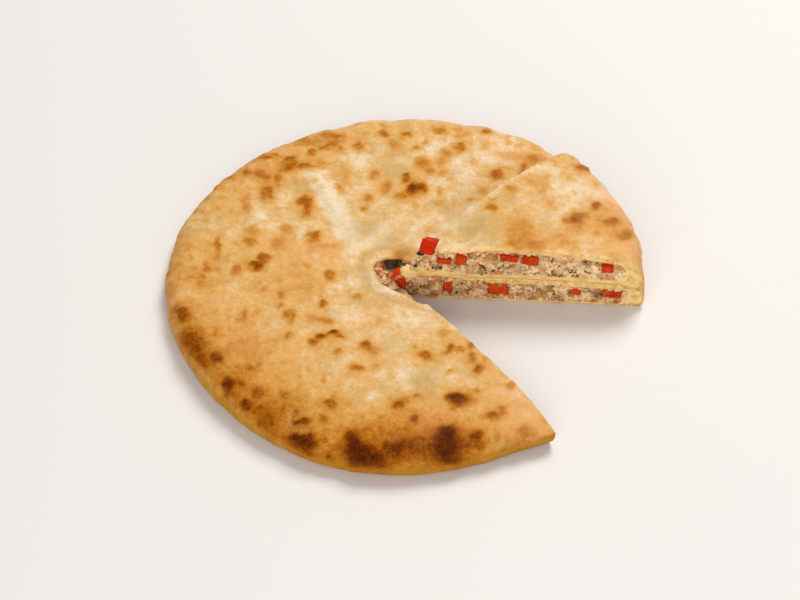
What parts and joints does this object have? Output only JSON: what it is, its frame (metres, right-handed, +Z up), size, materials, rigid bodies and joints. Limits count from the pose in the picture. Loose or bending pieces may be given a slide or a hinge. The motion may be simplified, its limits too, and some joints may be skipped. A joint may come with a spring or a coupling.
{
  "type": "ossetian pie",
  "caption": "Round flat golden pie of thin dough over minced meat with diced pepper, a vent in its lid, and a wedge cut out and laid on top of the rest.",
  "frame": {"origin": "middle of the pie's outline, on the surface that it rests on", "axes": "+Z up through the lid, +X towards the side where the cut slice lies, -Y towards the open side of the cut-out wedge"},
  "size_m": [0.3191, 0.3211, 0.0485],
  "materials": {
    "crust": "baked yeast dough, pale gold with brown blisters, lightly buttered",
    "filling": "cooked minced meat with chopped herbs, moist and crumbly",
    "pepper": "cooked red sweet pepper, moist and glossy"
  },
  "bodies": {
    "root": {"pie_crust": "crust", "pie_far_cut_pepper_1": "pepper", "pie_far_cut_pepper_2": "pepper", "pie_far_cut_pepper_3": "pepper", "pie_far_cut_pepper_4": "pepper", "pie_filling": "filling", "pie_near_cut_pepper_1": "pepper", "pie_near_cut_pepper_2": "pepper", "pie_near_cut_pepper_3": "pepper", "pie_vent_pepper": "pepper", "slice_back_pepper_1": "pepper", "slice_back_pepper_2": "pepper", "slice_back_pepper_3": "pepper", "slice_crust": "crust", "slice_filling": "filling", "slice_front_pepper_1": "pepper", "slice_front_pepper_2": "pepper", "slice_front_pepper_3": "pepper", "slice_front_pepper_4": "pepper", "slice_front_pepper_5": "pepper", "slice_vent_pepper": "pepper"}
  },
  "joints": []
}
